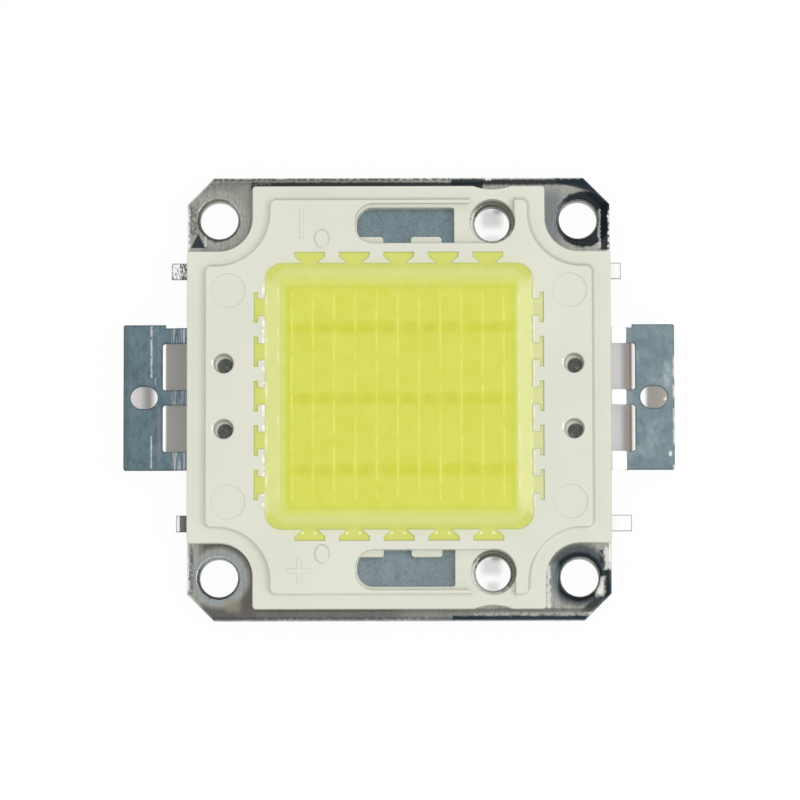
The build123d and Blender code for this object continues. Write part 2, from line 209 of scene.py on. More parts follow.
nylonLook = {
    "base": "#E1E2D4",
    "cloud": "#DBDDCF",
    "warm": "#E0DFCA",
    "warmCover": 0.45,
    # painted shade on upright faces: its tone and how far it covers
    "wall": "#BFC0B0",
    "wallShadeCover": 0.4,
    "slope": "#A2A394",
    "slopeCover": 0.4,
    "backShare": 0.8,       # weight of facing back, beside 1 for facing right
    "speck": "#A9A99B",
    "speckCover": 0.35,
    "roughness": (0.42, 0.56),
    "cloudSize": 9.0,
    "mottleSize": 0.7,
    "grainSize": 0.16,      # spark-eroded grain is nearer 0.05; drawn coarser so that it shows
    "grainDepth": 0.005,
    "waveSize": 3.0,
    "waveDepth": 0.012,
    "speckSpacing": 1.6,
    "speckRadius": 0.07,
    "edgeRound": 0.07,
    "windowHalf": 12.6,
    "windowCorner": 2.2,
    "glow": "#DCDFAE",      # painted yellow light from the silicone on the plastic beside it
    "glowReach": 0.9,
    "glowCover": 0.5,
    # glints on the rims of the window and of the pin holes: box, blur, tone, cover and whether
    # the noise breaks it up
    "marks": (
        ((-12.88, -12.62, -11.0, 11.0), 0.05, "#FFFFF4", 0.85, True),
        ((12.62, 12.8, -10.5, 10.5), 0.05, "#FAFBE6", 0.5, True),
        ((-17.66, -17.44, 2.9, 3.4), 0.08, "#FFFFFA", 0.8, False),
        ((-17.66, -17.44, -3.25, -2.75), 0.08, "#FFFFFA", 0.8, False),
        ((15.36, 15.54, 2.9, 3.5), 0.07, "#FFFFFA", 0.9, False),
        ((15.36, 15.54, -3.2, -2.6), 0.07, "#FFFFFA", 0.9, False),
    ),
}


def mouldedNylon(name, look):
    # Filled nylon, injection moulded: opaque cream white, satin, with the fine grain of an eroded mould.
    material, tree, surface, place = startMaterial(name, IOR=1.53)
    x, y = addNode(tree, "SeparateXYZ", [place]).node.outputs[:2]
    farX, farY = (addNode(tree, "Math", [axis], operation="ABSOLUTE") for axis in (x, y))
    cloud = grain(tree, place, look["cloudSize"], 3)
    mottle = grain(tree, place, look["mottleSize"], 4)
    colour = paint(tree, look["base"], look["cloud"], (cloud, 0.35, 0.7))
    colour = paint(tree, colour, look["warm"], (mottle, 0.4, 0.75), look["warmCover"])
    cells = {"Vector": place, "Scale": 1 / look["speckSpacing"]}
    fromSpeck = addNode(tree, "TexVoronoi", cells, out="Distance")
    radius = look["speckRadius"] / look["speckSpacing"]
    colour = paint(tree, colour, look["speck"], (fromSpeck, radius, radius / 2), look["speckCover"])
    corner = look["windowCorner"]
    outward = roundedReach(tree, farX, farY, look["windowHalf"], corner)
    # painted light: a yellow glow on the plastic round the window, as if thrown from the silicone
    atWindow = mask(tree, (outward, corner + look["glowReach"], corner), look["glowCover"])
    colour = paint(tree, colour, look["glow"], atWindow)
    # painted shade: upright faces are darkened
    colour = paint(tree, colour, look["wall"], steepness(tree), look["wallShadeCover"])
    colour = stamp(tree, colour, x, y, look["marks"], mask(tree, (mottle, 0.42, 0.55)))
    # slopes that face right or back stay darker than the light alone makes them
    normal = addNode(tree, "NewGeometry", out="Normal")
    rightward, backward = addNode(tree, "SeparateXYZ", [normal]).node.outputs[:2]
    leaning = addNode(tree, "Math", [backward, look["backShare"], rightward], operation="MULTIPLY_ADD")
    colour = paint(tree, colour, look["slope"], (leaning, 0.2, 0.6), look["slopeCover"])
    fine = grain(tree, place, look["grainSize"], 3)
    wave = grain(tree, place, look["waveSize"], 1)
    ratio = look["waveDepth"] / look["grainDepth"]
    height = addNode(tree, "Math", [wave, ratio, fine], operation="MULTIPLY_ADD")
    relief(tree, surface, height, look["grainDepth"], look["edgeRound"])
    finishSurface(tree, surface, colour, mottle, look["roughness"])
    return material


# Polarity signs, raised a little from the frame by engraving in the mould

signSizes = {
    "minus": {"x": -9.16, "y": 16.35, "along": 2.7, "across": 0.34},
    "plus": {"x": -9.4, "y": -16.5, "along": 2.4, "across": 0.42},
    "height": 0.06,
    "edge": 0.025,
}


def raiseSign(name, place, arms):
    # A flat square is drawn out into arms, raised and softened at its top edges.
    bpy.ops.object.select_all(action="DESELECT")
    bpy.ops.mesh.primitive_plane_add(size=place["across"] * mm,
                                     location=(place["x"] * mm, place["y"] * mm, frameTop * mm))
    sign = bpy.context.object
    sign.name = name
    bpy.ops.object.mode_set(mode="EDIT")
    half = place["across"] / 2 * mm
    draw = (place["along"] - place["across"]) / 2 * mm
    for dx, dy in arms:
        bpy.ops.mesh.select_mode(type="EDGE")
        bpy.ops.mesh.select_all(action="DESELECT")
        bpy.ops.object.mode_set(mode="OBJECT")
        for edge in sign.data.edges:
            middle = (sign.data.vertices[edge.vertices[0]].co + sign.data.vertices[edge.vertices[1]].co) / 2
            edge.select = (middle - Vector((dx * half, dy * half, 0))).length < half / 10
        bpy.ops.object.mode_set(mode="EDIT")
        bpy.ops.mesh.extrude_edges_move(TRANSFORM_OT_translate={"value": (dx * draw, dy * draw, 0)})
    bpy.ops.mesh.select_mode(type="FACE")
    bpy.ops.mesh.select_all(action="SELECT")
    bpy.ops.mesh.remove_doubles(threshold=half / 100)
    bpy.ops.mesh.extrude_region_move(TRANSFORM_OT_translate={"value": (0, 0, signSizes["height"] * mm)})
    bpy.ops.mesh.select_all(action="SELECT")
    bpy.ops.mesh.normals_make_consistent(inside=False)
    bpy.ops.object.mode_set(mode="OBJECT")
    soften = sign.modifiers.new("soften", "BEVEL")
    soften.width = signSizes["edge"] * mm
    soften.segments = 3
    bpy.ops.object.modifier_apply(modifier="soften")
    bpy.ops.object.transform_apply(location=True, rotation=True, scale=True)
    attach(sign, "root")


raiseSign("minus_sign", signSizes["minus"], [(0, 1), (0, -1)])
raiseSign("plus_sign", signSizes["plus"], [(1, 0), (-1, 0), (0, 1), (0, -1)])
framePlastic = mouldedNylon("mouldedNylon", nylonLook)
dress(framePlastic, "frame_plastic", "frame", "minus_sign", "plus_sign")
print("frame and signs dressed")


# Base plate

plateLook = {
    "nickel": "#DADAD0",
    "dull": "#C3C4BC",
    "streak": "#787B78",
    "streakCover": 0.5,
    "grainCover": 0.45,
    "side": "#50565B",
    "sideStreak": "#353B41",
    # white of the painted highlights on torn edges, rubbed spots and the lips
    "burrHighlight": "#F4F4EE",
    "roughness": (0.2, 0.34),
    "slot": (-3.95, 5.25, 14.0, 18.2),
    "slotBack": "#92A9B2",
    "slotFront": "#A0B2BA",
    "slotPale": "#BCCACC",
    "slotStain": "#7B8184",
    "slotCover": 0.35,
    "topLevel": (1.8, 1.9),     # heights between which the sides give way to the top
    "screwPitch": 17.0,
    # distances from the screw holes between which a shade starts and is full
    "steel": "#B9C6CC",
    "steelReach": (2.8, 2.2),
    "steelCover": 0.6,
    # painted shade at the foot of the frame
    "brown": "#706C66",
    "footReach": (2.5, 3.15),
    "footEnd": (19.2, 18.2),    # the same, measured from the middle of the plate
    "footCovers": (0.35, 0.85),     # at the back and at the front
    "cut": "#2B343B",
    "cutReach": (37.0, 37.5),   # sum of both distances from the middle, along the cut corners
    "cutCover": 0.9,
    # dark ring at each screw hole, a stain with painted shadow and reflection in it: centre, reach, blur,
    # tone and cover
    "rings": (
        ((-17.14, 16.84), 1.95, 0.15, "#45484A", 0.85),
        ((17.5, 17.02), 2.66, 0.12, "#2B343B", 0.96),
        ((-17.08, -17.1), 1.93, 0.12, "#45484A", 0.85),
        ((16.9, -16.75), 2.95, 0.4, "#4A555E", 0.85),
        ((16.93, -16.95), 2.36, 0.2, "#2B343B", 0.96),
    ),
    # stains and rubbed places, with painted reflections, dark and pale, and painted shadow lines at the foot
    # of the frame: box, blur, tone, cover and whether the noise breaks it up
    "marks": (
        ((-19.0, 8.0, 20.75, 21.2), 0.06, "#4C5052", 0.75, True),
        ((-14.0, 8.0, 19.9, 20.6), 0.1, "#3C3F41", 0.95, False),
        ((-18.0, -12.0, 20.3, 20.6), 0.15, "#8A8D8A", 0.6, True),
        ((5.0, 21.0, 20.3, 20.86), 0.15, "#2B343B", 0.92, False),
        ((-20.0, -19.0, 15.5, 18.2), 0.3, "#6A6E6C", 0.6, True),
        ((-13.5, 21.0, -20.3, -19.9), 0.1, "#70706B", 0.7, False),
        ((-13.5, 21.0, -21.2, -20.2), 0.1, "#92948F", 0.7, False),
        ((-20.0, 8.0, -21.2, -20.7), 0.08, "#3D4650", 0.55, True),
        ((-20.0, -19.4, -18.5, -14.2), 0.15, "#6B6A64", 0.6, True),
        ((7.0, 19.0, -20.6, -20.25), 0.1, "#D2D1CB", 0.8, True),
        ((5.0, 21.0, -21.2, -20.62), 0.1, "#2F3C48", 0.95, False),
        ((13.4, 15.4, 14.2, 19.8), 0.8, "#868F97", 0.7, False),
        ((16.6, 18.3, 19.75, 20.2), 0.2, "#A6A89E", 0.65, False),
        ((19.15, 20.1, 14.1, 18.6), 0.1, "#23292F", 0.92, False),
        ((14.0, 14.9, -19.6, -15.6), 0.3, "#CBD3D6", 0.42, False),
        ((-16.4, -15.0, -20.2, -19.0), 0.35, "#BDB8A2", 0.7, False),
        ((-15.4, -14.2, 17.3, 19.9), 0.5, "#D8D8D2", 0.35, False),
        ((18.9, 19.25, -15.7, -14.1), 0.1, "#3A3A38", 0.85, True),
        ((19.3, 20.1, -19.0, -16.3), 0.12, "#2B343B", 0.92, False),
    ),
    # torn edges and rubbed spots, painted as white highlights with no metal under them: box, blur, cover and
    # whether the noise breaks it up
    "burrHighlights": (
        ((-20.2, -19.74, 14.2, 18.1), 0.05, 0.9, True),
        ((-20.2, -19.76, -18.2, -14.2), 0.05, 0.9, True),
        ((-18.4, -18.18, 14.5, 15.5), 0.08, 0.6, False),
        ((18.88, 19.12, 14.3, 17.9), 0.05, 0.45, False),
        ((13.9, 14.22, -19.9, -15.9), 0.09, 0.8, False),
        ((19.35, 19.8, -16.2, -14.1), 0.1, 0.7, False),
        ((18.5, 19.3, -18.7, -17.0), 0.25, 0.9, False),
        ((19.86, 20.1, 14.3, 17.9), 0.04, 0.7, True),
        ((10.0, 18.0, 20.9, 21.1), 0.05, 0.35, True),
        ((8.3, 8.8, 20.75, 21.0), 0.06, 0.9, False),
    ),
    # right dark patch, a stain with painted reflection: values of x * tilt + y between which it starts
    # and is full, and its two other sides
    "wedge": {"tilt": 0.237, "edge": (24.0, 24.12), "left": (14.6, 15.2), "front": (18.6, 18.9)},
    # left dark patch, likewise: the same, with the distance from its ridge in place of x
    "gable": {"ridge": -19.0, "tilt": 0.49, "edge": (7.8, 7.62), "front": (14.3, 14.36)},
    "dark": "#333F47",
    "darkCover": 0.92,
    "locatingX": 8.85,
    "locatingY": 16.6,
    "lipReach": (2.3, 2.2),
    # painted light and shade on the lip: bright, grey and dark
    "lipTones": ("#F2F1EA", "#B9B7AA", "#96948B"),
    # from bright to grey, from grey to dark, and from bare metal to a painted highlight: start and end,
    # from the middle
    "lipSteps": ((-1.3, -0.4), (-0.1, 0.8), (0.4, -1.2)),
    "lipLean": 0.7,             # how far the tones turn from front to back towards left to right
    "lipLevel": (1.6, 1.7),     # heights between which the torn metal of the lip starts
    "lipCover": 0.6,
    # how far the noise moves the edges of each kind of mark
    "lipWander": 6.0,
    "ringWander": 0.4,
    "markWander": 0.25,
    "burrHighlightWander": 0.6,
    "cloudSize": 2.6,
    "tornSize": 0.4,
    "streakWidth": 0.12,
    "streakLength": 2.2,
    "streakTurn": 7,
    "shearWidth": 0.2,
    "shearLength": 2.4,
    "grainSize": 0.13,
    "grainDepth": 0.004,
    "edgeRound": 0.12,
}


def brushedNickel(name, look):
    # Copper sheet, blanked, brushed and nickel plated: a soft cloudy mirror, stained by screws and with
    # torn edges; painted reflections, shade and highlights lie on it too.
    material, tree, surface, place = startMaterial(name)
    x, y, z = addNode(tree, "SeparateXYZ", [place]).node.outputs
    farX, farY = (addNode(tree, "Math", [axis], operation="ABSOLUTE") for axis in (x, y))
    folded = addNode(tree, "CombineXYZ", [farX, farY])
    onLeft = mask(tree, (x, 1, -1))
    onFront = mask(tree, (y, 1, -1))
    streakShape = (1, look["streakLength"] / look["streakWidth"], 1)
    streak = grain(tree, place, look["streakWidth"], 3, stretch=streakShape, turn=look["streakTurn"])
    cloud = grain(tree, place, look["cloudSize"], 4, stretch=(0.6, 1.5, 1))
    torn = grain(tree, place, look["tornSize"], 4)
    fine = grain(tree, place, look["grainSize"], 3)
    broken = mask(tree, (torn, 0.4, 0.52))
    bare = paint(tree, look["nickel"], look["dull"], (cloud, 0.3, 0.75))
    bare = paint(tree, bare, look["streak"], (streak, 0.48, 0.72), look["streakCover"])
    bare = paint(tree, bare, look["streak"], (fine, 0.5, 0.72), look["grainCover"])
    # steel blue round the front left hole, painted brown shade at the foot of the frame, dark right corners
    fromScrew = reach(tree, folded, (look["screwPitch"],) * 2)
    colour = paint(tree, bare, look["steel"], (fromScrew, *look["steelReach"]), onLeft, onFront,
                   look["steelCover"])
    footCover = addNode(tree, "MapRange", [onFront, 0, 1, *look["footCovers"]])
    colour = paint(tree, colour, look["brown"], (fromScrew, *look["footReach"]), (farX, *look["footEnd"]),
                   onLeft, footCover)
    towardsCut = addNode(tree, "Math", [farX, farY], operation="ADD")
    colour = paint(tree, colour, look["cut"], (towardsCut, *look["cutReach"]), (x, 0, 1), look["cutCover"])
    for centre, ringReach, blur, tone, cover in look["rings"]:
        wandering = [torn, look["ringWander"], reach(tree, place, centre)]
        uneven = addNode(tree, "Math", wandering, operation="MULTIPLY_ADD")
        edge = ringReach + look["ringWander"] / 2
        colour = paint(tree, colour, tone, (uneven, edge + blur, edge - blur), cover)
    # the edges of the marks and of the painted highlights wander a little
    shake = addNode(tree, "Math", [torn, -0.5], operation="ADD")
    markX, markY, highlightX, highlightY = (
        addNode(tree, "Math", [shake, look[wander], axis], operation="MULTIPLY_ADD")
        for wander in ("markWander", "burrHighlightWander") for axis in (x, y))
    colour = stamp(tree, colour, markX, markY, look["marks"], broken)
    # dark wedge along the back right edge, and a dark triangle at the back left: stains with painted
    # reflection
    wedge, gable = look["wedge"], look["gable"]
    acrossWedge = addNode(tree, "Math", [x, wedge["tilt"], y], operation="MULTIPLY_ADD")
    rightDarkPatch = mask(tree, (acrossWedge, *wedge["edge"]), (x, *wedge["left"]), (y, *wedge["front"]))
    fromRidge = addNode(tree, "Math", [x, gable["ridge"]], operation="SUBTRACT")
    flank = addNode(tree, "Math", [fromRidge], operation="ABSOLUTE")
    acrossGable = addNode(tree, "Math", [y, gable["tilt"], flank], operation="MULTIPLY_ADD")
    leftDarkPatch = mask(tree, (acrossGable, *gable["edge"]), onLeft, (y, *gable["front"]))
    darkPatches = combine(tree, "MAXIMUM", rightDarkPatch, leftDarkPatch)
    colour = paint(tree, colour, look["dark"], darkPatches, look["darkCover"])
    # lip round the locating holes: torn flakes in painted light and shade, bright below and to the left,
    # dark above and to the right
    fromPin = reach(tree, folded, (look["locatingX"], look["locatingY"]))
    atPin = mask(tree, (x, 0, 1), (fromPin, *look["lipReach"]))
    unfolded = addNode(tree, "Math", [onFront, 2 * look["locatingY"], y], operation="MULTIPLY_ADD")
    leaning = addNode(tree, "Math", [x, look["lipLean"], unfolded], operation="MULTIPLY_ADD")
    ragged = addNode(tree, "Math", [torn, look["lipWander"], leaning], operation="MULTIPLY_ADD")
    middle = look["locatingY"] + look["lipLean"] * look["locatingX"] + look["lipWander"] / 2
    bright, grey, dark = look["lipTones"]
    toGrey, toDark, toHighlight = ((ragged, middle + start, middle + end) for start, end in look["lipSteps"])
    lip = paint(tree, paint(tree, bright, grey, toGrey), dark, toDark)
    colour = paint(tree, colour, lip, atPin)
    lipHighlight = mask(tree, atPin, toHighlight, (z, *look["lipLevel"]), look["lipCover"])
    # floor of the slots
    slotTone = paint(tree, look["slotFront"], look["slotBack"], (y, -1, 1))
    slotTone = paint(tree, slotTone, look["slotPale"], (fine, 0.5, 0.75))
    slotTone = paint(tree, slotTone, look["slotStain"], (torn, 0.5, 0.7), look["slotCover"])
    colour = paint(tree, colour, slotTone, patch(tree, x, farY, look["slot"], 0.05))
    # the marks lie on the top only; the sheared sides are dark with upright streaks, the underside is bare
    onTop = mask(tree, (z, *look["topLevel"]))
    burrHighlight = mask(tree, spots(tree, highlightX, highlightY, look["burrHighlights"], broken), onTop)
    burrHighlight = combine(tree, "MAXIMUM", burrHighlight, lipHighlight)
    shearShape = (1, 1, look["shearLength"] / look["shearWidth"])
    shear = grain(tree, place, look["shearWidth"], 3, stretch=shearShape)
    side = paint(tree, look["side"], look["sideStreak"], (shear, 0.42, 0.62))
    below = paint(tree, bare, side, steepness(tree))
    colour = paint(tree, below, colour, onTop)
    # painted highlights, with the metal turned off under them
    colour = paint(tree, colour, look["burrHighlight"], burrHighlight)
    tree.links.new(addNode(tree, "Math", [1, burrHighlight], operation="SUBTRACT"), surface.inputs["Metallic"])
    height = addNode(tree, "Math", [streak, fine], operation="ADD")
    relief(tree, surface, height, look["grainDepth"], look["edgeRound"])
    finishSurface(tree, surface, colour, cloud, look["roughness"])
    return material


dress(brushedNickel("brushedNickel", plateLook), "plated_base", "base_plate")


# Leads

leadLook = {
    "silver": "#94A8B0",
    # painted reflection: the left lead is darker and bluer, as it mirrors darker surroundings
    "leftReflection": "#7C97A3",
    "leftReflectionCover": 0.85,
    "pale": "#A9B8BC",
    "grainCover": 0.6,
    "dark": "#6A8390",
    "smudgeSize": 0.4,
    "smudgeTurn": 35,
    "smudgeCovers": (0.75, 0.3),    # on the left and on the right
    "rim": "#4E4B4A",           # darker along the stamped rims
    "rimWidth": 0.3,
    "rimCover": 0.8,
    # white of the painted highlights
    "glare": "#FAFBFB",
    "roughness": (0.24, 0.36),
    "cloudSize": 1.8,
    "spot": "#F0F5F6",
    "spotSpacing": 0.45,
    "spotRadius": 0.06,
    "spotCluster": 0.8,
    "scratchWidth": 0.035,
    "scratchLength": 1.9,
    "scratchTurn": 17,
    "scratchCover": 0.5,
    "bend": (20.0, 21.6),
    "bendLineWidth": 0.1,
    "bendCover": 0.95,
    "scores": ((-23.45, -23.27, 1.9, 6.8), (-23.44, -23.3, -6.7, -3.6), (-23.02, -22.94, 1.1, 1.9)),
    "wornSize": 0.5,
    "pinX": 16.5,
    "pinY": 3.1,
    "pinReach": (1.3, 1.1),
    # painted shade on the floor of the pin holes, and a painted highlight crescent for the lit wall
    "pitShade": "#676D6A",
    "pitPale": "#868D85",
    "pitSize": 0.4,
    "pitGlint": "#F1F4E2",
    "pitShift": (0.15, -0.17),
    "pitReach": (0.68, 0.84),
    # tinted places: box, blur, tone, cover and whether the noise breaks it up
    "marks": (
        ((-22.8, -22.5, -6.0, -1.0), 0.1, "#B0A6BA", 0.5, False),
        ((-22.8, -22.5, 2.0, 6.0), 0.1, "#B0A6BA", 0.3, False),
        ((-25.9, -25.5, -6.9, 6.9), 0.2, "#7C8482", 0.5, False),
        ((20.9, 21.9, -6.9, 6.9), 0.3, "#B4BDBD", 0.6, True),
        ((22.6, 25.4, 1.9, 6.7), 0.5, "#839AA0", 0.45, False),
    ),
    # painted highlights, pale and not metallic, standing for glare off the bends and rims: the same without a
    # tone
    "glares": (
        ((20.0, 21.35, -7.4, 7.4), 0.22, 0.95, False),
        ((25.45, 25.72, -5.6, -5.15), 0.1, 0.9, False),
        ((25.84, 26.1, -6.9, 4.0), 0.04, 0.6, True),
        ((25.0, 25.6, 1.0, 3.4), 0.2, 0.25, True),
    ),
    "grainSize": 0.09,
    "grainDepth": 0.004,
    "edgeRound": 0.05,
}


def tarnishedSilver(name, look):
    # Copper strip, stamped and silver plated, a little tarnished: blue-grey satin with pale specks
    # and scratches.
    material, tree, surface, place = startMaterial(name)
    x, y = addNode(tree, "SeparateXYZ", [place]).node.outputs[:2]
    farX, farY = (addNode(tree, "Math", [axis], operation="ABSOLUTE") for axis in (x, y))
    onLeft = mask(tree, (x, 1, -1))
    cloud = grain(tree, place, look["cloudSize"], 4)
    fine = grain(tree, place, look["grainSize"], 3)
    colour = paint(tree, look["silver"], look["pale"], (cloud, 0.45, 0.75))
    # painted reflection: the whole left lead darker and bluer
    colour = paint(tree, colour, look["leftReflection"], onLeft, look["leftReflectionCover"])
    smudge = grain(tree, place, look["smudgeSize"], 4, stretch=(1, 2.2, 1), turn=look["smudgeTurn"])
    smudgeCover = addNode(tree, "MapRange", [x, -1, 1, *look["smudgeCovers"]])
    colour = paint(tree, colour, look["dark"], (smudge, 0.46, 0.66), smudgeCover)
    colour = paint(tree, colour, look["pale"], (fine, 0.5, 0.7), look["grainCover"])
    cells = {"Vector": place, "Scale": 1 / look["spotSpacing"]}
    fromSpot = addNode(tree, "TexVoronoi", cells, out="Distance")
    radius = look["spotRadius"] / look["spotSpacing"]
    rare = grain(tree, place, look["spotCluster"], 2)
    colour = paint(tree, colour, look["spot"], (fromSpot, radius, radius / 3), (rare, 0.5, 0.62))
    # scratches all over, fine lines along the bend of the left lead, and three long scores beside it
    scratchShape = (1, look["scratchLength"] / look["scratchWidth"], 1)
    scratch = grain(tree, place, look["scratchWidth"], 1, stretch=scratchShape, turn=look["scratchTurn"])
    scratches = mask(tree, (scratch, 0.7, 0.78), look["scratchCover"])
    bendLine = grain(tree, place, look["bendLineWidth"], 2, stretch=(1, 30, 1))
    bendStart, bendEnd = look["bend"]
    bend = mask(tree, (farX, bendStart, bendStart + 0.3), (farX, bendEnd, bendEnd - 0.3),
                (bendLine, 0.5, 0.62), onLeft, look["bendCover"])
    worn = mask(tree, (grain(tree, place, look["wornSize"], 3, stretch=(0.3, 1, 1)), 0.34, 0.5))
    scores = [mask(tree, patch(tree, x, y, box, 0.05), worn) for box in look["scores"]]
    colour = paint(tree, colour, look["spot"], combine(tree, "MAXIMUM", scratches, bend, *scores))
    colour = paint(tree, colour, look["rim"], rims(tree, look["rimWidth"]), look["rimCover"])
    # floor of the pin holes in painted shade, with a painted highlight: a pale crescent at its back left
    # that stands for the lit wall of the hole
    folded = addNode(tree, "CombineXYZ", [farX, farY])
    fromPin = reach(tree, folded, (look["pinX"], look["pinY"]))
    pitTone = paint(tree, look["pitShade"], look["pitPale"], (grain(tree, place, look["pitSize"], 3), 0.45, 0.7))
    shiftX, shiftY = look["pitShift"]
    pits = [(sideX * look["pinX"] + shiftX, sideY * look["pinY"] + shiftY)
            for sideX in (-1, 1) for sideY in (-1, 1)]
    fromPit = combine(tree, "MINIMUM", *(reach(tree, place, centre) for centre in pits))
    pitTone = paint(tree, pitTone, look["pitGlint"], (fromPit, *look["pitReach"]))
    colour = paint(tree, colour, pitTone, (fromPin, *look["pinReach"]))
    flaky = mask(tree, (smudge, 0.42, 0.54))
    colour = stamp(tree, colour, x, y, look["marks"], flaky)
    # painted highlights, with the metal turned off under them
    glare = spots(tree, x, y, look["glares"], flaky)
    colour = paint(tree, colour, look["glare"], glare)
    tree.links.new(addNode(tree, "Math", [1, glare], operation="SUBTRACT"), surface.inputs["Metallic"])
    relief(tree, surface, fine, look["grainDepth"], look["edgeRound"])
    finishSurface(tree, surface, colour, cloud, look["roughness"])
    return material


dress(tarnishedSilver("tarnishedSilver", leadLook), "plated_lead", "left_lead", "right_lead")


# Tie bars

stubLook = {
    "tinGlare": "#FFFFFE",
    "metallic": 0.15,           # low, so that the painted white highlight shows from every side
    "grey": "#7B7771",
    "greyCovers": (1, 0.3),     # at the back and at the front
    "rim": "#4C4843",
    "rimWidth": 0.25,
    "rimCover": 0.85,
    "nearFrameStart": (-20.75, -20.6),
    "nearFrameCover": 0.9,
    "roughness": (0.35, 0.5),
    "grainSize": 0.12,
    "grainDepth": 0.01,
}


def glareTin(name, look):
    # Copper stubs, cut off and tin plated, painted near white as a highlight for the glare on them, with dark
    # rims.
    material, tree, surface, place = startMaterial(name, Metallic=look["metallic"])
    x, y = addNode(tree, "SeparateXYZ", [place]).node.outputs[:2]
    onLeft = mask(tree, (x, 1, -1))
    onFront = mask(tree, (y, 1, -1))
    torn = grain(tree, place, look["grainSize"], 4, stretch=(1, 3, 1))
    greyCover = addNode(tree, "MapRange", [onFront, 0, 1, *look["greyCovers"]])
    colour = paint(tree, look["tinGlare"], look["grey"], (torn, 0.46, 0.64), onLeft, greyCover)
    # darker next to the frame, whole at the front left and broken at the back left
    nearFrameDark = combine(tree, "MAXIMUM", mask(tree, (torn, 0.4, 0.55)), onFront)
    colour = paint(tree, colour, look["rim"], (x, *look["nearFrameStart"]), onLeft, nearFrameDark, look["nearFrameCover"])
    colour = paint(tree, colour, look["rim"], rims(tree, look["rimWidth"]), look["rimCover"])
    relief(tree, surface, torn, look["grainDepth"])
    finishSurface(tree, surface, colour, torn, look["roughness"])
    return material


tieBars = [name for name in cadNodes if name.startswith("tie_bar")]
dress(glareTin("glareTin", stubLook), "plated_lead", *tieBars)
print("metal dressed")


# Silicone

siliconeLook = {
    # over the dies
    "cup": (-10.6, 10.92, -10.7, 10.5),
    "cupFloor": (-10.2, 10.67, -10.5, 10.2),
    "deep": "#D6DA52",
    "wall": "#CFD54C",
    "row": "#D0D332",
    "rowCover": 0.7,
    "rowShift": 0.24,
    "die": "#CBCE38",
    "dieCover": 0.8,
    "dieEnd": (10.0, 9.6),
    "line": "#E6EA6C",
    "lineCover": 0.8,
    "lineReach": 0.169,
    "lineShift": 0.04,
    "lineEnd": 10.1,
    "lineWander": 0.12,
    "lineWanderSize": 0.5,
    "lineGapSize": 0.9,
    "spark": "#F3F6A0",
    "sparkSize": 0.22,
    # over the ledge, the lead strips and the keys
    "ledgeHalf": 12.6,
    "ledgeCorner": 2.2,
    "ledge": "#D6DB83",
    "shoulder": "#D6DB6A",
    "shoulderEnd": (10.9, 11.5),
    "corner": "#CED466",
    "cornerCover": 0.9,
    "leftBand": "#DCE18F",
    "rightBand": "#E5E89C",
    "bandEdge": (11.0, 11.4),
    "glint": "#F6F8CC",
    "glintCover": 0.8,
    "glints": ((11.35, 0.06), (12.5, 0.12)),    # distance to the side and half width of each bright line
    "fleckSize": 0.5,
    "pocket": "#D4D96E",
    "rightPocket": "#DADDA0",
    # painted shade along the outer edges of the keys, where the silicone meets the plastic wall
    "gap": "#C3C76A",
    "keyReach": 1.05,
    "keyPitch": 4.19,
    "keyShift": 0.1,
    # pale dots beside the necks of the front keys, painted highlights, and the distances to the side at
    # which they end
    "dotPlace": (0.6, -12.93),
    "dotRadius": 0.17,
    "dotEnd": (9.6, 9.4),
    "dotCover": 0.85,
    # all over
    "roughness": (0.36, 0.48),
    "cloudSize": 1.5,
    "veilCover": 0.09,
    "powderCover": 0.18,
    "grainSize": 0.14,      # phosphor powder is nearer 0.02; drawn coarser so that it shows
    "grainDepth": 0.003,
    "waveSize": 2.4,
    "waveDepth": 0.009,
}


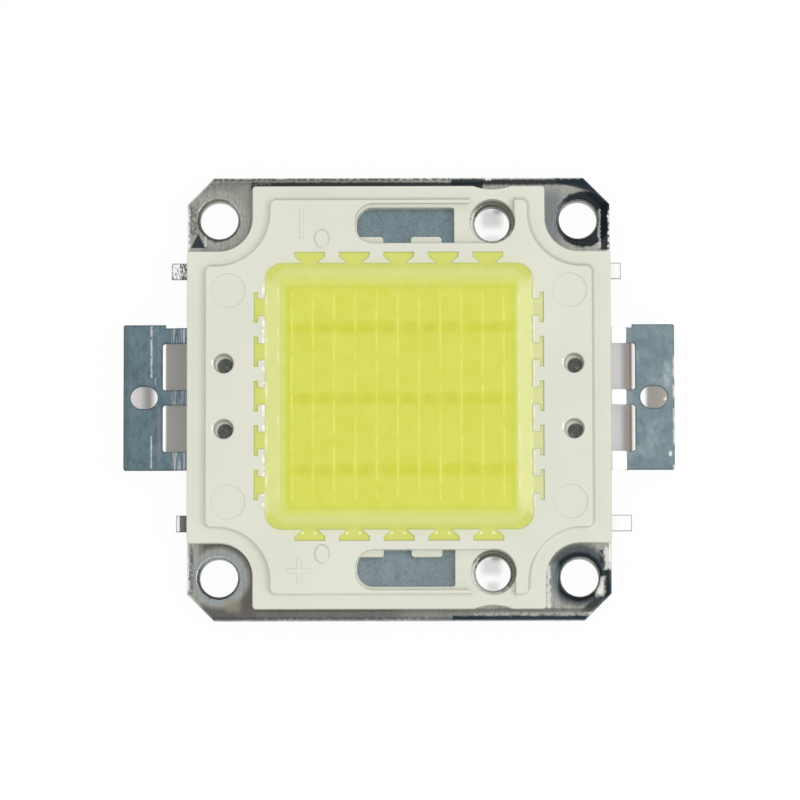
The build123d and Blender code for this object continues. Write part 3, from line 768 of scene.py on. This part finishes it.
def phosphorSilicone(name, look):
    # Cured silicone full of yellow phosphor powder: soft, cloudy, paler where it is thin over the ledge.
    material, tree, surface, place = startMaterial(name, IOR=1.41)
    x, y = addNode(tree, "SeparateXYZ", [place]).node.outputs[:2]
    farX, farY = (addNode(tree, "Math", [axis], operation="ABSOLUTE") for axis in (x, y))
    cloud = grain(tree, place, look["cloudSize"], 4)
    fine = grain(tree, place, look["grainSize"], 3)
    # thin parts: ledge, lead strips and pockets
    ledge, corner = look["ledgeHalf"], look["ledgeCorner"]
    outward = combine(tree, "MAXIMUM", farX, farY)
    sideways = addNode(tree, "Math", [farX, farY], operation="SUBTRACT")
    onSide = mask(tree, (sideways, -0.2, 2.2))
    band = paint(tree, look["leftBand"], look["rightBand"], (x, -1, 1))
    thin = paint(tree, look["shoulder"], look["ledge"], (outward, *look["shoulderEnd"]))
    thin = paint(tree, thin, band, (farX, *look["bandEdge"]), onSide)
    atCorner = roundedReach(tree, farX, farY, ledge, corner)
    thin = paint(tree, thin, look["corner"], (atCorner, corner - 0.75, corner - 0.35), (onSide, 1, 0.3),
                 look["cornerCover"])
    flecks = mask(tree, (grain(tree, place, look["fleckSize"], 4, stretch=(0.5, 2.5, 1)), 0.42, 0.66))
    for glintX, half in look["glints"]:
        atGlint = addNode(tree, "Math", [farX, glintX, half], operation="COMPARE")
        thin = paint(tree, thin, look["glint"], atGlint, flecks, onSide, look["glintCover"])
    pocket = paint(tree, look["pocket"], look["rightPocket"], (x, ledge - 0.1, ledge + 0.1))
    thin = paint(tree, thin, pocket, (outward, ledge - 0.05, ledge + 0.1))
    # painted shade along the outer edges of the keys
    rim = ledge + look["keyReach"]
    thin = paint(tree, thin, look["gap"], (outward, rim - 0.16, rim - 0.02))
    shiftedKey = addNode(tree, "Math", [x, look["keyShift"]], operation="ADD")
    fromKey = addNode(tree, "Math", [shiftedKey, look["keyPitch"] / 2], operation="PINGPONG")
    fromDot = reach(tree, addNode(tree, "CombineXYZ", [fromKey, y]), look["dotPlace"])
    thin = paint(tree, thin, look["glint"], (fromDot, look["dotRadius"], look["dotRadius"] / 2),
                 (farX, *look["dotEnd"]), look["dotCover"])
    # deep part over the dies, darker along their rows and over each of them
    deep = paint(tree, look["wall"], look["deep"], patch(tree, x, y, look["cupFloor"], 0.25))
    shiftedRow = addNode(tree, "Math", [y, look["rowShift"]], operation="ADD")
    fromRow = addNode(tree, "Math", [shiftedRow, diePitchY / 2], operation="PINGPONG")
    row = mask(tree, (fromRow, 0.85, 0.15), (farY, diePitchY + 1.5, diePitchY + 1.2))
    deep = paint(tree, deep, look["row"], row, look["rowCover"])
    shiftedDie = addNode(tree, "Math", [x, -dieX], operation="ADD")
    fromDie = addNode(tree, "Math", [shiftedDie, diePitchX / 2], operation="PINGPONG")
    die = mask(tree, (fromDie, 0.85, 0.1), row, (farX, *look["dieEnd"]))
    deep = paint(tree, deep, look["die"], die, (cloud, 0.36, 0.56), look["dieCover"])
    # grooves between the columns of dies show as pale broken lines
    wandering = [grain(tree, place, look["lineWanderSize"], 2), look["lineWander"], x]
    wander = addNode(tree, "Math", wandering, operation="MULTIPLY_ADD")
    shiftedLine = addNode(tree, "Math", [wander, look["lineShift"] - dieX + diePitchX / 2], operation="ADD")
    fromLine = addNode(tree, "Math", [shiftedLine, diePitchX / 2], operation="PINGPONG")
    gaps = grain(tree, place, look["lineGapSize"], 4, stretch=(0.4, 1.2, 1))
    line = mask(tree, (fromLine, look["lineReach"], 0.03), (farY, look["lineEnd"], look["lineEnd"] - 0.6),
                (gaps, 0.32, 0.62))
    deep = paint(tree, deep, look["line"], line, look["lineCover"])
    glitter = grain(tree, place, look["sparkSize"], 1, stretch=(0.5, 1.6, 1))
    deep = paint(tree, deep, look["spark"], line, (glitter, 0.68, 0.8))
    colour = paint(tree, thin, deep, patch(tree, x, y, look["cup"], 0.18))
    # a cloudy veil, and the grain of the powder
    colour = paint(tree, colour, look["spark"], (cloud, 0.35, 0.75), look["veilCover"])
    colour = paint(tree, colour, look["die"], (fine, 0.5, 0.85), look["powderCover"])
    wave = grain(tree, place, look["waveSize"], 1)
    ratio = look["waveDepth"] / look["grainDepth"]
    height = addNode(tree, "Math", [wave, ratio, fine], operation="MULTIPLY_ADD")
    relief(tree, surface, height, look["grainDepth"])
    finishSurface(tree, surface, colour, cloud, look["roughness"])
    return material


dress(phosphorSilicone("phosphorSilicone", siliconeLook), "phosphor_silicone", "silicone")
print("silicone dressed")


# Inner pieces, sealed under the silicone

dieLook = {
    "sapphire": "#BCD0E6",
    "emitter": "#7FA0D8",
    "cloudSize": 0.3,
    "finger": "#E2C26A",
    "fingerPitch": 0.38,
    "fingerCover": 0.9,
    "fingerHeight": 0.002,
    "roughness": (0.08, 0.3),
}


def polishedSapphire(name, look):
    # Sapphire chip, polished, with a thin blue emitting layer and gold contact fingers.
    material, tree, surface, place = startMaterial(name, IOR=1.77)
    y = addNode(tree, "SeparateXYZ", [place], out="Y")
    fromFinger = addNode(tree, "Math", [y, look["fingerPitch"] / 2], operation="PINGPONG")
    finger = mask(tree, (fromFinger, 0.05, 0.03), look["fingerCover"])
    emitter = paint(tree, look["sapphire"], look["emitter"], grain(tree, place, look["cloudSize"], 2))
    colour = paint(tree, emitter, look["finger"], finger)
    relief(tree, surface, finger, look["fingerHeight"])
    finishSurface(tree, surface, colour, finger, look["roughness"], (0, 1))
    return material


adhesiveLook = {
    "silver": "#C9CACB",
    "gap": "#8F9296",
    "flakeSize": 0.04,      # silver flake is nearer 0.01; drawn coarser so that it shows
    "flakeDepth": 0.004,
    "roughness": (0.35, 0.6),
}


def filledAdhesive(name, look):
    # Adhesive filled with silver flake, cured to a grainy grey.
    material, tree, surface, place = startMaterial(name, Metallic=1.0)
    flake = grain(tree, place, look["flakeSize"], 3)
    relief(tree, surface, flake, look["flakeDepth"])
    finishSurface(tree, surface, paint(tree, look["silver"], look["gap"], flake), flake, look["roughness"])
    return material


wireLook = {
    "gold": "#E8BE62",
    "goldDark": "#B98A3C",
    "lineWidth": 0.02,
    "lineLength": 0.16,
    "lineDepth": 0.001,
    "roughness": (0.15, 0.3),
}


def drawnGold(name, look):
    # Fine gold wire, drawn and bonded with heat and ultrasound.
    material, tree, surface, place = startMaterial(name, Metallic=1.0)
    line = grain(tree, place, look["lineWidth"], 2, stretch=(look["lineLength"] / look["lineWidth"], 1, 1))
    relief(tree, surface, line, look["lineDepth"])
    finishSurface(tree, surface, paint(tree, look["gold"], look["goldDark"], line), line, look["roughness"])
    return material


for material, slot, start in (
        (polishedSapphire("polishedSapphire", dieLook), "die", "die_r"),
        (filledAdhesive("filledAdhesive", adhesiveLook), "die_attach", "die_attach"),
        (drawnGold("drawnGold", wireLook), "bond_wire", "bond_wires")):
    dress(material, slot, *(name for name in cadNodes if name.startswith(start)))
print("inner pieces dressed")


# Floor, light and camera

floorLook = {
    "white": "#FFFFFF",
    "size": 6.0,            # metres
    "drop": 0.03,
    "glow": 0.96,           # share of its white that the floor keeps in shadow
    "shadeGlow": 0.3,       # the same close under the leads and in the holes, where it is toned down
    # soft shades under the leads and in the holes: box, blur, tone and cover
    "shades": (
        ((-22.1, -19.5, -6.5, 6.5), 0.1, "#BEBBB5", 1.0),
        ((-22.1, -19.5, 0.0, 6.5), 0.1, "#BAB7B0", 1.0),
        ((-24.0, -22.7, 1.5, 6.2), 0.2, "#C4C0BB", 1.0),
        ((-24.0, -22.7, -6.2, -1.5), 0.2, "#C4C0BB", 1.0),
        ((22.75, 24.0, 1.5, 6.2), 0.2, "#C4C0BB", 1.0),
        ((22.75, 24.0, -6.2, -1.5), 0.2, "#C4C0BB", 1.0),
        ((-25.5, -23.4, -6.2, 6.2), 0.3, "#F3EFEC", 1.0),
        ((-24.2, -23.32, -6.2, 6.2), 0.5, "#B9B4AF", 1.0),
        ((19.5, 22.1, -6.5, 6.5), 0.1, "#F8F5F2", 1.0),
        ((21.2, 22.1, -6.5, 6.5), 0.4, "#A9978C", 0.7),
        ((21.85, 22.1, -6.5, 6.5), 0.06, "#8A6D60", 0.6),
        ((23.48, 25.5, -6.2, 6.2), 0.25, "#BFBAB2", 1.0),
        ((25.12, 25.4, -0.05, 0.2), 0.1, "#FFFFFF", 1.0),
        ((7.9, 9.8, 16.5, 18.2), 0.5, "#DCD9D5", 0.5),
        ((8.2, 9.6, 14.8, 15.7), 0.4, "#DEDCD8", 0.3),
        ((9.0, 9.8, 17.8, 18.2), 0.3, "#9C9C98", 0.7),
        ((7.8, 9.6, -16.6, -15.0), 0.5, "#DDDAD7", 0.45),
        ((8.3, 9.4, -18.2, -17.3), 0.4, "#DDDAD7", 0.4),
        ((8.7, 9.6, -15.3, -14.9), 0.3, "#989C95", 0.75),
    ),
}


def isSeen(tree):
    # 1 for rays that show a surface to the camera, straight or by a mirror; 0 for rays that only carry light.
    ray = addNode(tree, "LightPath", out="Is Camera Ray")
    mirrored = [ray.node.outputs[name] for name in ("Is Glossy Ray", "Is Transmission Ray")]
    return combine(tree, "MAXIMUM", ray, *mirrored)


def makeStage():
    # White floor that glows a little, so that the shadow on it is faint except close under the leads and in
    # the holes, where shades are painted on it and it glows less.
    # From below it can be looked through.
    bpy.ops.object.select_all(action="DESELECT")
    bpy.ops.mesh.primitive_plane_add(size=floorLook["size"], location=(0, 0, -floorLook["drop"] * mm))
    floor = bpy.context.object
    floor.name = "floor"
    material, tree, surface, place = startMaterial("whiteSweep", Roughness=0.9, Specular_IOR_Level=0.0)
    x, y = addNode(tree, "SeparateXYZ", [place]).node.outputs[:2]
    seen = isSeen(tree)
    tone = stamp(tree, floorLook["white"], x, y, [(*shade, False) for shade in floorLook["shades"]])
    places = [(box, blur, cover, False) for box, blur, tint, cover in floorLook["shades"]]
    shaded = spots(tree, x, y, places)
    glowShare = addNode(tree, "MapRange", [shaded, 0, 1, floorLook["glow"], floorLook["shadeGlow"]])
    glow = mask(tree, seen, glowShare)
    matt = paint(tree, floorLook["white"], tone, seen)
    mattShare = addNode(tree, "Math", [1, glow], operation="SUBTRACT")
    dimmed = addNode(tree, "VectorMath", {"Vector": matt, "Scale": mattShare}, operation="SCALE")
    tree.links.new(dimmed, surface.inputs["Base Color"])
    tree.links.new(tone, surface.inputs["Emission Color"])
    tree.links.new(glow, surface.inputs["Emission Strength"])
    output = next(node for node in tree.nodes if node.type == "OUTPUT_MATERIAL")
    fromBelow = addNode(tree, "NewGeometry", out="Backfacing")
    shown = addNode(tree, "MixShader", [fromBelow, surface.outputs[0], addNode(tree, "BsdfTransparent")])
    tree.links.new(shown, output.inputs["Surface"])
    floor.data.materials.append(material)


# Places and sizes in metres
studioLight = {
    "dome": 0.78,           # light of the world on the object
    "cardGrey": 0.5,        # what flat metal mirrors from above
    "cardPlace": (-0.25, 0, 0.75),
    "cardSize": (1.15, 1.2),
    "keySize": 0.6,
    "keyDistance": 1.0,
    "keyPower": 2.95,
    "keyTilt": 32,          # degrees from straight above, towards the right
    "keyTurn": -12,         # and a little to the front
}


def makeWorld():
    world = bpy.data.worlds.new("studioDome")
    bpy.context.scene.world = world
    world.use_nodes = True
    tree = world.node_tree
    background = next(node for node in tree.nodes if node.type == "BACKGROUND")
    strength = addNode(tree, "MapRange", [isSeen(tree), 0, 1, studioLight["dome"], 1])
    background.inputs["Color"].default_value = linearColour("#FFFFFF")
    tree.links.new(strength, background.inputs["Strength"])


def makeLights():
    # A grey card over the camera gives the metal something to mirror; it lights nothing else.
    bpy.ops.object.select_all(action="DESELECT")
    bpy.ops.mesh.primitive_plane_add(size=1, location=studioLight["cardPlace"])
    card = bpy.context.object
    card.name = "overheadCard"
    card.scale = (*studioLight["cardSize"], 1)
    material = bpy.data.materials.new("greyCard")
    material.use_nodes = True
    tree = material.node_tree
    shade = addNode(tree, "Emission", {"Color": "#FFFFFF", "Strength": studioLight["cardGrey"]})
    output = next(node for node in tree.nodes if node.type == "OUTPUT_MATERIAL")
    tree.links.new(shade, output.inputs["Surface"])
    card.data.materials.append(material)
    card.visible_camera = False
    card.visible_diffuse = False
    card.visible_shadow = False
    card.visible_transmission = False
    tilt = math.radians(studioLight["keyTilt"])
    turn = math.radians(studioLight["keyTurn"])
    direction = Vector((math.sin(tilt) * math.cos(turn), math.sin(tilt) * math.sin(turn), math.cos(tilt)))
    key = bpy.data.lights.new("keyLight", "AREA")
    key.shape = "SQUARE"
    key.size = studioLight["keySize"]
    key.energy = studioLight["keyPower"]
    keyObject = bpy.data.objects.new("keyLight", key)
    keyObject.location = direction * studioLight["keyDistance"]
    keyObject.rotation_euler = direction.to_track_quat("Z", "Y").to_euler()
    bpy.context.scene.collection.objects.link(keyObject)


cameraPlace = {
    "distance": 500.0,
    "elevation": 84.35,
    "target": (0.097, -0.18, 2.0),
    "roll": -0.12,
    "focalPixels": 5290.4,    # of an image that is imageWidth wide
    "imageWidth": 800,
    "sensor": 36.0,
    "clip": (0.01, 20.0),     # metres
}


def makeCamera():
    data = bpy.data.cameras.new("camera")
    data.sensor_width = cameraPlace["sensor"]
    data.lens = cameraPlace["focalPixels"] / cameraPlace["imageWidth"] * cameraPlace["sensor"]
    data.clip_start, data.clip_end = cameraPlace["clip"]
    camera = bpy.data.objects.new("camera", data)
    rise = math.radians(cameraPlace["elevation"])
    back = Vector((0, -math.cos(rise), math.sin(rise)))
    camera.location = (Vector(cameraPlace["target"]) + back * cameraPlace["distance"]) * mm
    camera.rotation_euler = (math.radians(90 - cameraPlace["elevation"]), 0, 0)
    camera.rotation_euler.rotate_axis("Z", math.radians(cameraPlace["roll"]))
    bpy.context.scene.collection.objects.link(camera)
    bpy.context.scene.camera = camera


makeStage()
makeWorld()
makeLights()
makeCamera()
bpy.context.scene.view_settings.view_transform = "Standard"
print("studio ready")
